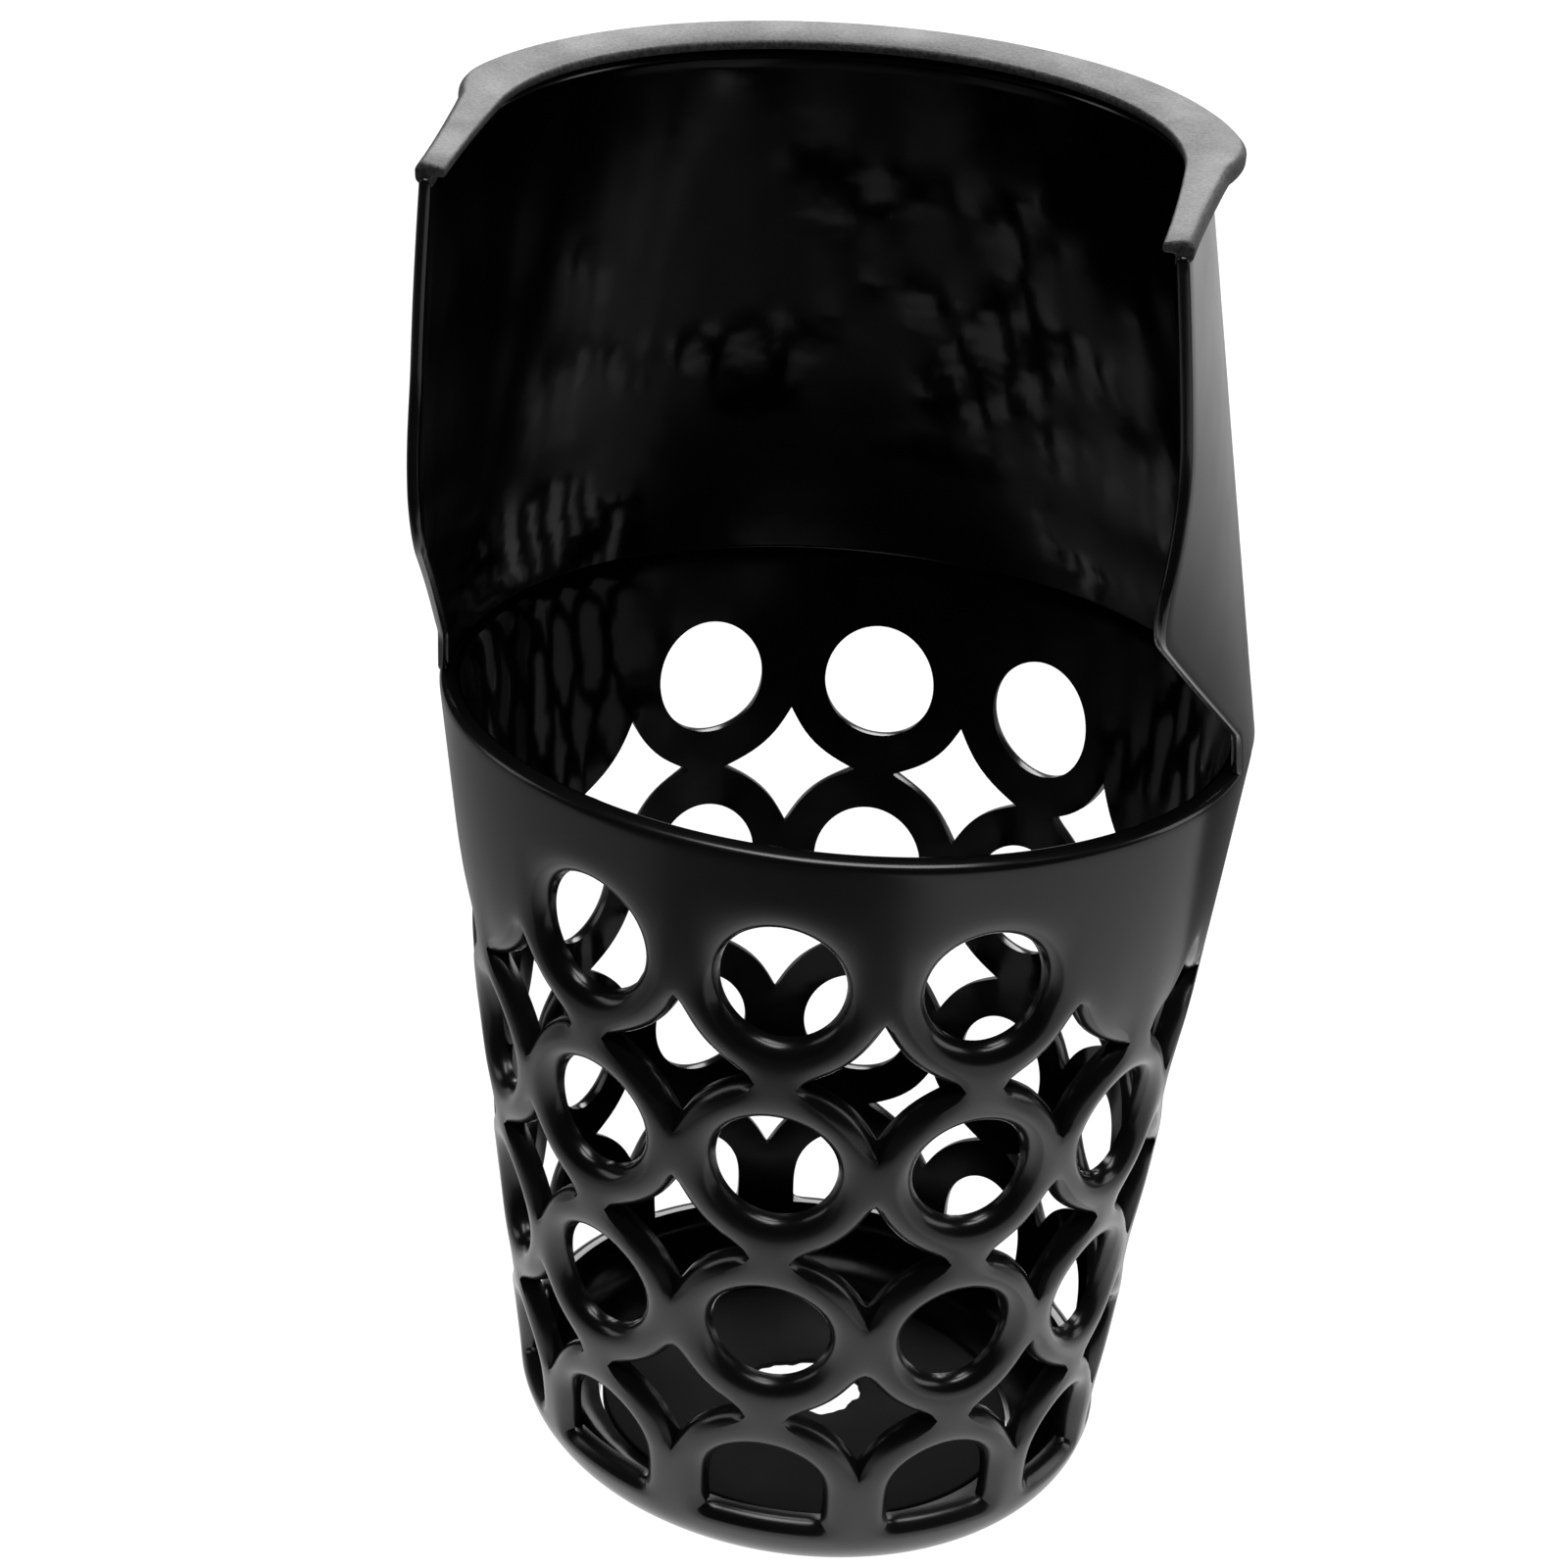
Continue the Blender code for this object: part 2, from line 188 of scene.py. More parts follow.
def sparkErodedPolypropylene():
    # A face that was spark eroded in the mould: matt, a fine even grain of tiny pits that scatter the
    # light, so the black plastic reads as a speckled mid grey.
    material, tree, shader = newMaterial("sparkErodedPolypropylene")
    place = addNode(tree, "ShaderNodeTexCoord").outputs["Object"]
    grain = addNode(tree, "ShaderNodeTexNoise",
                    {"Scale": perMetre(sparkGrain["grainSize"]), "Detail": 2.0, "Roughness": 0.6},
                    {"Vector": place}).outputs["Fac"]
    patches = addNode(tree, "ShaderNodeTexNoise",
                      {"Scale": perMetre(sparkGrain["patchSize"]), "Detail": 2.0},
                      {"Vector": place}).outputs["Fac"]
    colour = colourSteps(tree, grain, sparkGrain["low"], sparkGrain["high"], start=0.35, end=0.65)
    tree.links.new(colour, shader.inputs["Base Color"])
    low, high = sparkGrain["roughness"]
    matt = addNode(tree, "ShaderNodeMapRange",
                   {"From Min": 0.35, "From Max": 0.65, "To Min": low, "To Max": high}, {"Value": patches})
    tree.links.new(matt.outputs["Result"], shader.inputs["Roughness"])
    bump = addNode(tree, "ShaderNodeBump",
                   {"Strength": 0.6, "Distance": sparkGrain["grainHeight"] * mm},
                   {"Height": grain})
    tree.links.new(bump.outputs["Normal"], shader.inputs["Normal"])
    shader.inputs["IOR"].default_value = sparkGrain["ior"]
    return material


milledFloor = {
    "colour": "0a0a0b", "worn": "161617",
    "roughness": (0.6, 0.75),
    "ior": 1.22,             # matched, under polypropylene's 1.49, as on the polished core
    # arcs left by the cutter in the mould's floor, round a point to the left of the tub
    "cutterPitch": 5.027, "cutterHeight": 0.012, "cutterCentre": -40.0,
    "waveTurn": 20.0,        # radians that the wave texture turns in each unit
    "smudgeSize": 9.0,
}


def milledMouldPolypropylene():
    # The same plastic against a mould face that was milled and not polished: faint arcs from the cutter
    # and dull smudges, so that it stays a soft dark grey and mirrors nothing clearly.
    material, tree, shader = newMaterial("milledMouldPolypropylene")
    place = addNode(tree, "ShaderNodeTexCoord").outputs["Object"]
    centred = addNode(tree, "ShaderNodeMapping",
                      {"Location": (-milledFloor["cutterCentre"] * mm, -tubAxis * mm, 0.0)},
                      {"Vector": place})
    repeat = 2 * math.pi / milledFloor["waveTurn"] * perMetre(milledFloor["cutterPitch"])
    arcs = addNode(tree, "ShaderNodeTexWave",
                   {"wave_type": "RINGS", "rings_direction": "Z", "Scale": repeat,
                    "Distortion": 1.5, "Detail": 2.0, "Detail Scale": 1.5},
                   {"Vector": centred.outputs["Vector"]}).outputs["Fac"]
    smudges = addNode(tree, "ShaderNodeTexNoise",
                      {"Scale": perMetre(milledFloor["smudgeSize"]), "Detail": 4.0, "Roughness": 0.6},
                      {"Vector": place}).outputs["Fac"]
    colour = colourSteps(tree, smudges, milledFloor["colour"], milledFloor["worn"], start=0.35, end=0.7)
    tree.links.new(colour, shader.inputs["Base Color"])
    low, high = milledFloor["roughness"]
    matt = addNode(tree, "ShaderNodeMapRange",
                   {"From Min": 0.3, "From Max": 0.7, "To Min": low, "To Max": high}, {"Value": smudges})
    tree.links.new(matt.outputs["Result"], shader.inputs["Roughness"])
    bump = addNode(tree, "ShaderNodeBump",
                   {"Strength": 0.5, "Distance": milledFloor["cutterHeight"] * mm},
                   {"Height": arcs})
    tree.links.new(bump.outputs["Normal"], shader.inputs["Normal"])
    shader.inputs["IOR"].default_value = milledFloor["ior"]
    return material


skin = mouldedSatinPolypropylene()
core = mouldedGlossPolypropylene()
grained = sparkErodedPolypropylene()
milled = milledMouldPolypropylene()
print("materials ready")


def mix(low, high, share):
    return low + (high - low) * share


def finishPiece(bm, name, materials, node, smoothLevels=0):
    # a bmesh made an object that rides with the holder and stands for its CAD node
    mesh = bpy.data.meshes.new(name)
    bm.to_mesh(mesh)
    bm.free()
    mesh.shade_smooth()
    mesh.set_sharp_from_angle(angle=math.radians(smoothUnder))
    for material in materials:
        mesh.materials.append(material)
    piece = bpy.data.objects.new(name, mesh)
    bpy.context.scene.collection.objects.link(piece)
    if smoothLevels:
        smooth = piece.modifiers.new("smooth", "SUBSURF")
        smooth.levels = smoothLevels
        smooth.render_levels = smoothLevels
    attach(piece, "root")
    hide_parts(node)
    return piece


def edgesRound(ring):
    # the edges of a ring of vertices, in the same order each run
    return list(dict.fromkeys(edge for vert in ring for edge in vert.link_edges))


def grow(bm, edges, place):
    # extrude edges and put each new vertex where place() says for the one that it came from
    made = bmesh.ops.extrude_edge_only(bm, edges=edges)["geom"]
    fresh = [item for item in made if isinstance(item, bmesh.types.BMVert)]
    for vert in fresh:
        vert.co = place(vert)
    known = set(fresh)
    return [edge for edge in made if isinstance(edge, bmesh.types.BMEdge) and known.issuperset(edge.verts)]


def cornerEdges(bm, angle):
    # the edges whose two faces turn by more than this angle, in degrees
    return [edge for edge in bm.edges if edge.is_manifold and edge.calc_face_angle() > math.radians(angle)]


def creaseCorners(bm, angle):
    # the corners that stay sharp under the subdivision
    crease = bm.edges.layers.float.new("crease_edge")
    for edge in cornerEdges(bm, angle):
        edge[crease] = 1.0


def roundCorners(bm, angle, offset, segments):
    bmesh.ops.bevel(bm, geom=cornerEdges(bm, angle), offset=offset * mm, offset_type="OFFSET",
                    segments=segments, affect="EDGES", profile=0.5, material=-1)


tub = {
    "baseHalfWidth": 42.2, "baseHalfDepth": 34.2,
    "rimHalfWidth": 51.4, "rimHalfDepth": 39.7, "rimHeight": 128.0,
    "wall": 3.0, "footRound": 11.0,
    "rimRound": 0.6, "rimHold": 2.0,  # the rim's edge, and the last loop below it
    "footLoops": (8.0, 4.6, 1.2, -2.4),  # loops down the foot, measured along the wall
    "columns": 12,
    "rows": (108.0, 78.6, 49.0, 19.0),
    "plainTop": (2, 3, 4, 8, 9, 10),  # columns whose top row has no ring
    "bandBottom": 122.5,     # where the plain band under the rim begins
    "footTop": 10.6,         # where the foot begins under the arches
    "spread": 0.069,         # how far the columns spread towards the sides lower down
    "holeShare": 0.315, "holeHalfHeight": 8.7,
    "sill": 6.0,             # the arches' flat sill below their centres
    # an arch's lower quarter from its side to its middle: shares of its half width and of its sill's depth
    "archShape": ((1.0, 0.5), (0.98, 1.0), (0.66, 1.0), (0.33, 1.0), (0.0, 1.0)),
    "diamondShare": 0.39, "diamondHalfHeight": 9.5,
    # two points between a diamond's tips: shares of its half sizes, and which way the rounding goes there
    "diamondCurve": (((0.213, 0.57), (0.743, 0.669)), ((0.557, 0.225), (0.485, 0.874))),
    "straightShares": (0.5, 0.36, 0.235, 0.115),  # a straight edge's points, in columns from the middle
    "fillet": 1.5,           # how far the rounding of the outer edges is set back on each side
    "tipRun": (2.6, 1.2),    # how far the valleys run on past a diamond's upright and level tips
    "sectors": 20,           # points round a ring, as many as its cell's outline has
    "drawIn": 1.016,         # the subdivision draws a ring in by this much, so it starts larger
    "sharpOver": 75,         # degrees: corners over this stay sharp, as the inner edges are
    "coreShare": 0.867,      # past this share of the wall's depth a face is the core's
}
flatUnit = 25.0          # one column's width while the lattice is flat
lastRow = len(tub["rows"]) - 1
quarterTurn = tub["sectors"] // 4
halfTurn = tub["sectors"] // 2
noStep = -100            # marks a point that isn't on its cell's outline


def tubHalfAxes(height):
    share = height / tub["rimHeight"]
    halfWidth = mix(tub["baseHalfWidth"], tub["rimHalfWidth"], share)
    halfDepth = mix(tub["baseHalfDepth"], tub["rimHalfDepth"], share)
    return halfWidth, halfDepth


def columnAngle(column, height):
    angle = 2 * math.pi * column / tub["columns"]
    drop = (tub["rows"][0] - height) / tub["rimHeight"]
    return angle + tub["spread"] * drop * 2 * math.sin(2 * angle)


def columnWidth(column, height):
    halfWidth, halfDepth = tubHalfAxes(height)
    angle = columnAngle(column, height)
    turn = 2 * math.pi / tub["columns"]
    return turn * math.hypot(halfWidth * math.cos(angle), halfDepth * math.sin(angle))


def onTub(flat):
    # the flat lattice bent to the wall: x is columns round, y the way up the wall, -z the depth into it
    column, height, depth = flat.x / flatUnit, flat.y, -flat.z
    radius = tub["footRound"]
    turn = max(0.0, (radius - height) / radius)  # along the foot's rounding, a quarter turn in all
    inset = radius - (radius - depth) * math.cos(turn) if turn > 0 else depth
    z = radius - (radius - depth) * math.sin(turn) if turn > 0 else height
    halfWidth, halfDepth = tubHalfAxes(z)
    angle = columnAngle(column, z)
    x = (halfWidth - inset) * math.sin(angle)
    y = tubAxis - (halfDepth - inset) * math.cos(angle)
    return Vector((x, y, z)) * mm


def arcPoints(column, row, side, up, fillet):
    # the edge of the diamond that a ring cell meets, from its upright tip to its level tip
    level = (tub["rows"][row] + tub["rows"][row - up]) / 2
    middle = column + 0.5 * side
    width = columnWidth(middle, level)
    halfWidth = tub["diamondShare"] * width
    halfHeight = tub["diamondHalfHeight"]
    upright, flat = tub["tipRun"] if fillet else (0.0, 0.0)
    offsets = [(0.0, halfHeight + upright)]
    for (across, along), (outX, outY) in tub["diamondCurve"]:
        offsets.append((across * halfWidth + outX * fillet, along * halfHeight + outY * fillet))
    offsets.append((halfWidth + flat, 0.0))
    return [((middle - side * x / width) * flatUnit, level - up * y) for x, y in offsets]


def edgePoints(column, side, height):
    # a straight edge for a cell that meets the plain band or the foot, with the same number of points
    return [((column + side * share) * flatUnit, height) for share in tub["straightShares"]]


def cellOutline(column, row, fillet):
    # the outline of one cell, anticlockwise from the middle of its right neck
    def quarter(side, up):
        if row == 0 and up > 0:
            return edgePoints(column, side, tub["bandBottom"])
        if row == lastRow and up < 0:
            return edgePoints(column, side, tub["footTop"])
        return arcPoints(column, row, side, up, fillet)

    centre = tub["rows"][row]
    top = tub["bandBottom"] if row == 0 else (centre + tub["rows"][row - 1]) / 2
    bottom = tub["footTop"] if row == lastRow else (centre + tub["rows"][row + 1]) / 2
    right, left = (column + 0.5) * flatUnit, (column - 0.5) * flatUnit
    points = [(right, centre)] + quarter(1, 1) + [(column * flatUnit, top)] + quarter(-1, 1)[::-1]
    points += [(left, centre)] + quarter(-1, -1) + [(column * flatUnit, bottom)] + quarter(1, -1)[::-1]
    return points


def holeOutline(column, row, fillet):
    # a ring's hole, anticlockwise from its right; an arch's lower half is straight down to its flat sill
    centre = tub["rows"][row]
    width = columnWidth(column, centre)
    halfWidth = tub["holeShare"] * width * tub["drawIn"] + fillet
    halfHeight = tub["holeHalfHeight"] * tub["drawIn"] + fillet
    drop = tub["sill"] + fillet
    points = []
    for step in range(tub["sectors"]):
        angle = 2 * math.pi * step / tub["sectors"]
        x, y = halfWidth * math.cos(angle), halfHeight * math.sin(angle)
        if row == lastRow and step > halfTurn:
            fromSide = min(step - halfTurn, tub["sectors"] - step)
            across, down = tub["archShape"][fromSide - 1]
            x = math.copysign(across * halfWidth, step - halfTurn - quarterTurn)
            y = -down * drop
        points.append((column * flatUnit + x / width * flatUnit, centre + y))
    return points


def isArc(edge, step, row):
    # whether an edge of a cell's outline borders a diamond
    first, second = sorted(vert[step] for vert in edge.verts)
    if second - first != 1 or first % quarterTurn not in range(1, quarterTurn - 1):
        return False
    up = first < halfTurn
    return not ((row == 0 and up) or (row == lastRow and not up))


def atDepth(outline, step, depth):
    # sends each vertex to its own point of an outline, at a depth in the wall
    return lambda vert: Vector((*outline[vert[step]], -depth))


def addDiamondWalls(bm, step, row, border, clearCell):
    # the rounding and the wall from a cell's outer outline to the diamonds' inner edges
    arcs = [edge for edge in border if isArc(edge, step, row)]
    rounded = grow(bm, arcs, atDepth(clearCell, step, tub["fillet"]))
    grow(bm, rounded, atDepth(clearCell, step, tub["wall"]))


def addRingCell(bm, step, column, row):
    # a ring: its face, the rounding and the wall of its hole, the walls to its diamonds, and its inner face
    clearHole, clearCell = holeOutline(column, row, 0.0), cellOutline(column, row, 0.0)
    atHole = atDepth(holeOutline(column, row, tub["fillet"]), step, 0.0)
    ring = bmesh.ops.create_circle(bm, cap_ends=False, radius=1.0, segments=tub["sectors"])["verts"]
    for number, vert in enumerate(ring):
        vert[step] = number
        vert.co = atHole(vert)
    edges = edgesRound(ring)
    border = grow(bm, edges, atDepth(cellOutline(column, row, tub["fillet"]), step, 0.0))
    addDiamondWalls(bm, step, row, border, clearCell)
    rounded = grow(bm, edges, atDepth(clearHole, step, tub["fillet"]))
    inner = grow(bm, rounded, atDepth(clearHole, step, tub["wall"]))
    grow(bm, inner, atDepth(clearCell, step, tub["wall"]))


def addPlainCell(bm, step, column):
    # a cell of the top row without a ring: an outer and an inner sheet, whose lower edges border diamonds
    heights = (None, tub["rows"][0], tub["bandBottom"])  # the lowest line is the cell's outline
    shares = [-share for share in tub["straightShares"]] + [0.0] + list(tub["straightShares"][::-1])
    wide, tall = len(shares) - 1, len(heights) - 1
    clearCell = cellOutline(column, 0, 0.0)
    for depth, outline in ((0.0, cellOutline(column, 0, tub["fillet"])), (tub["wall"], clearCell)):
        sheet = bmesh.ops.create_grid(bm, x_segments=wide, y_segments=tall, size=0.5)["verts"]
        for vert in sheet:
            across, up = round((vert.co.x + 0.5) * wide), round((vert.co.y + 0.5) * tall)
            onOutline = halfTurn + 1 + across
            vert[step] = noStep if up else onOutline
            spot = ((column + shares[across]) * flatUnit, heights[up]) if up else outline[onOutline]
            vert.co = (*spot, -depth)
        if depth == 0.0:
            lower = {vert for vert in sheet if vert[step] != noStep}
            border = [edge for edge in bm.edges if edge.is_boundary and lower.issuperset(edge.verts)]
            addDiamondWalls(bm, step, 0, border, clearCell)


def addBand(bm, start, stations):
    # the rim or the foot: the lattice's outer edge carried through heights and depths to its inner edge
    def onStart(vert):
        return abs(vert.co.y - start) < nearEnough and abs(vert.co.z) < nearEnough

    edges = [edge for edge in bm.edges if edge.is_boundary and all(onStart(vert) for vert in edge.verts)]
    for height, depth in stations:
        edges = grow(bm, edges, lambda vert: Vector((vert.co.x, height, -depth)))


def makeTub():
    bm = bmesh.new()
    step = bm.verts.layers.int.new("step")
    for row in range(lastRow + 1):
        for column in range(tub["columns"]):
            if row == 0 and column in tub["plainTop"]:
                addPlainCell(bm, step, column)
            else:
                addRingCell(bm, step, column, row)
    bmesh.ops.remove_doubles(bm, verts=bm.verts, dist=weldDistance)
    wall, rim, bend = tub["wall"], tub["rimHeight"], tub["rimRound"]
    addBand(bm, tub["bandBottom"], (
        (rim - tub["rimHold"], 0.0), (rim - bend, 0.0), (rim, bend),
        (rim, wall - bend), (rim - bend, wall), (tub["bandBottom"], wall),
    ))
    footEnd = tub["footRound"] * (1 - math.pi / 2)  # where the foot's quarter turn comes round to level
    down = tub["footLoops"] + (footEnd,)
    backUp = down[::-1] + (tub["footTop"],)
    addBand(bm, tub["footTop"], [(height, 0.0) for height in down] + [(height, wall) for height in backUp])
    bmesh.ops.remove_doubles(bm, verts=bm.verts, dist=weldDistance)
    for face in bm.faces:
        face.material_index = int(-face.calc_center_median().z > tub["coreShare"] * wall)
    for vert in bm.verts:
        vert.co = onTub(vert.co)
    bmesh.ops.remove_doubles(bm, verts=bm.verts, dist=weldDistance * mm)  # the last column meets the first
    bmesh.ops.recalc_face_normals(bm, faces=bm.faces)
    creaseCorners(bm, tub["sharpOver"])
    openEdges = sum(not edge.is_manifold for edge in bm.edges)
    print("tub:", len(bm.faces), "faces,", openEdges, "open edges, faces out", bm.calc_volume() > 0)
    return finishPiece(bm, "latticeTub", (skin, core), "basket", smoothLevels=2)


makeTub()


floorPlate = {
    "halfWidth": 30.8, "halfDepth": 22.85, "thickness": 2.8,
    "holeHalfWidth": 8.0, "holeHalfDepth": 5.0, "holeBack": 2.6,  # an oval hole, behind the tub's axis
    # waves round the hole: how many, their height, and the angle that they start at, in radians
    "ragged": ((5, 0.35, 0.4), (11, 0.16, 2.1), (23, 0.07, 4.0)),
    "points": 96, "rings": 5,
    "dish": 0.5,             # how far the middle sank as it cooled
    "recess": 1.4,           # how deep the underside is hollowed round the hole
    "recessEnds": 2.4,       # how far out the hollow goes, in hole radii
    "edgeRound": 0.45, "sharpOver": 60,  # corners over this many degrees are rounded
}


def makeFloorPlate():
    # an oval plate with a drain hole, whose edge is a little ragged from the trimmed gate
    bm = bmesh.new()
    turn = bm.verts.layers.float.new("turn")
    ring = bmesh.ops.create_circle(bm, cap_ends=False, radius=1.0, segments=floorPlate["points"])["verts"]
    halfWidth, halfDepth = floorPlate["halfWidth"], floorPlate["halfDepth"]
    holeWidth, holeDepth = floorPlate["holeHalfWidth"], floorPlate["holeHalfDepth"]
    holeBack = floorPlate["holeBack"]

    def placed(angle, share):
        # a point of the upper face: share 0 is on the hole's edge and 1 on the plate's
        wave = sum(high * math.sin(waves * angle + start) for waves, high, start in floorPlate["ragged"])
        x = math.cos(angle) * mix(holeWidth + wave, halfWidth, share)
        y = math.sin(angle) * mix(holeDepth + wave, halfDepth, share)
        y += holeBack * (1 - share)
        z = floorPlate["thickness"] - floorPlate["dish"] * (1 - share) ** 2
        return Vector((x, tubAxis + y, z)) * mm

    for number, vert in enumerate(ring):
        vert[turn] = number / floorPlate["points"] * 2 * math.pi
        vert.co = placed(vert[turn], 1.0)
    loop = edgesRound(ring)
    for number in range(floorPlate["rings"]):
        share = 1 - (number + 1) / floorPlate["rings"]
        loop = grow(bm, loop, lambda vert: placed(vert[turn], share))
    bmesh.ops.recalc_face_normals(bm, faces=bm.faces)
    if sum(face.normal.z for face in bm.faces) < 0:
        bmesh.ops.reverse_faces(bm, faces=bm.faces)
    under = bmesh.ops.extrude_face_region(bm, geom=bm.faces[:])["geom"]
    for item in under:
        if isinstance(item, bmesh.types.BMVert):
            across = item.co.x / (holeWidth * mm)
            along = (item.co.y - (tubAxis + holeBack) * mm) / (holeDepth * mm)
            out = math.hypot(across, along)
            level = min(max((floorPlate["recessEnds"] - out) / (floorPlate["recessEnds"] - 1), 0.0), 1.0)
            item.co.z = floorPlate["recess"] * mm * math.sqrt(level)
    bmesh.ops.recalc_face_normals(bm, faces=bm.faces)
    roundCorners(bm, floorPlate["sharpOver"], floorPlate["edgeRound"], segments=3)
    print("floor plate:", len(bm.faces), "faces, faces out", bm.calc_volume() > 0)
    return finishPiece(bm, "floorPlate", (milled,), "floor_plate")


makeFloorPlate()


hood = {
    "wall": 2.4, "height": 208.0, "lean": 26.0,
    "topHalfWidth": 37.4, "topHalfDepth": 32.4, "topArmDepth": 110.0,
    # the front edge from the top down: its reach in front of the tub's axis, its height, its rounding
    "front": (
        (48.0, 206.5, 0.0),
        (45.0, 183.0, 14.0),
        (50.1, 167.5, 8.0),
        (10.5, 134.0, 5.0),
        (9.0, 127.7, 0.0),
    ),
    "longestStep": 3.6, "arcSteps": 6, "columns": 56,
    "edgeWall": 0.55,        # the share of the wall that is left at the front edges
    "thinning": 0.12,        # the share of the way round over which the wall thins
    "edgeRound": 0.55,
}


def onHood(angle, height, inset=0.0):
    # the hood's oval leans forward as it rises, and its arms run straighter than its back
    share = (height - tub["rimHeight"]) / (hood["height"] - tub["rimHeight"])
    halfWidth = mix(tub["rimHalfWidth"], hood["topHalfWidth"], share) - inset
    depth = hood["topArmDepth"] if math.cos(angle) > 0 else hood["topHalfDepth"]
    halfDepth = mix(tub["rimHalfDepth"], depth, share) - inset
    y = tubAxis - hood["lean"] * share - halfDepth * math.cos(angle)
    return Vector((halfWidth * math.sin(angle), y, height)) * mm


def hoodEdgeAngle(reach, height):
    # the angle round the hood, from the front, where it comes this far in front of the tub's axis
    share = (height - tub["rimHeight"]) / (hood["height"] - tub["rimHeight"])
    arm = mix(tub["rimHalfDepth"], hood["topArmDepth"], share)
    return math.acos((reach - hood["lean"] * share) / arm)


def roundedLine(corners, arcSteps):
    # a line through the corners, each with its own rounding
    line = [Vector(corners[0][:2])]
    for before, corner, after in zip(corners, corners[1:], corners[2:]):
        here, radius = Vector(corner[:2]), corner[2]
        back = (Vector(before[:2]) - here).normalized()
        ahead = (Vector(after[:2]) - here).normalized()
        half = back.angle(ahead) / 2
        cut = radius / math.tan(half)
        centre = here + (back + ahead).normalized() * radius / math.sin(half)
        start, end = here + back * cut - centre, here + ahead * cut - centre
        for step in range(arcSteps + 1):
            line.append(centre + start.lerp(end, step / arcSteps).normalized() * radius)
    return line + [Vector(corners[-1][:2])]


def makeHood():
    corners = roundedLine(hood["front"], hood["arcSteps"])
    rows = [corners[0]]
    for before, after in zip(corners, corners[1:]):
        pieces = max(1, math.ceil((before.y - after.y) / hood["longestStep"]))
        rows += [before.lerp(after, number / pieces) for number in range(1, pieces + 1)]
    bm = bmesh.new()
    weights = bm.verts.layers.deform.verify()  # how much of the wall's thickness each point has
    columns, last = hood["columns"], len(rows) - 1
    sheet = bmesh.ops.create_grid(bm, x_segments=columns, y_segments=last, size=0.5)["verts"]
    for vert in sheet:
        across, row = round((vert.co.x + 0.5) * columns) / columns, rows[round((vert.co.y + 0.5) * last)]
        first = hoodEdgeAngle(row.x, row.y)
        vert.co = onHood(mix(first, 2 * math.pi - first, across), row.y)
        vert[weights][0] = math.sin(min(1.0, min(across, 1 - across) / hood["thinning"]) * math.pi / 2)
    bmesh.ops.recalc_face_normals(bm, faces=bm.faces)
    backmost = max(bm.faces, key=lambda face: face.calc_center_median().y)
    if backmost.normal.y < 0:
        bmesh.ops.reverse_faces(bm, faces=bm.faces)
    piece = finishPiece(bm, "leaningHood", (skin, core), "back_shield")
    smooth = piece.modifiers.new("smooth", "SUBSURF")
    smooth.levels = smooth.render_levels = 1
    smooth.boundary_smooth = "PRESERVE_CORNERS"
    wall = piece.modifiers.new("wall", "SOLIDIFY")
    wall.thickness = hood["wall"] * mm
    wall.offset = -1.0
    wall.use_even_offset = True
    wall.material_offset = 1
    wall.vertex_group = piece.vertex_groups.new(name="fullWall").name
    wall.thickness_vertex_group = hood["edgeWall"]
    edges = piece.modifiers.new("edges", "BEVEL")
    edges.width = hood["edgeRound"] * mm
    edges.segments = 3
    edges.limit_method = "ANGLE"
    edges.angle_limit = math.radians(smoothUnder)
    print("hood:", len(piece.data.polygons), "faces before its wall")
    return piece


makeHood()


lip = {
    "thickness": 2.1, "width": 6.8, "rise": 0.5, "edge": 0.7,
    "endWidth": 3.0, "taper": 0.13, "endReach": 48.0,
    "seat": 206.5, "seatShare": 0.42,  # the underside is notched to sit on the hood's top edge
    "crown": 0.45,           # how much of the rise is left to climb where the notch ends
    "stations": 121,
    "tangentStep": 0.001,    # radians each way, for the direction along the lip
    "edgeRound": 0.28, "sharpOver": 35,  # corners over this many degrees are rounded
}


def lipSection(width):
    # outward distance from the hood's inner face, and height, round the lip's section
    top, edge = hood["height"], lip["edge"]
    under = top - lip["rise"] - lip["thickness"]
    notch = width * lip["seatShare"]
    return (
        (0.0, lip["seat"]), (notch, lip["seat"]), (notch, under),
        (width - edge, under), (width, under + edge), (width, top - edge), (width - edge, top),
        (notch, top - lip["rise"] * lip["crown"]), (0.0, top - lip["rise"]),
    )


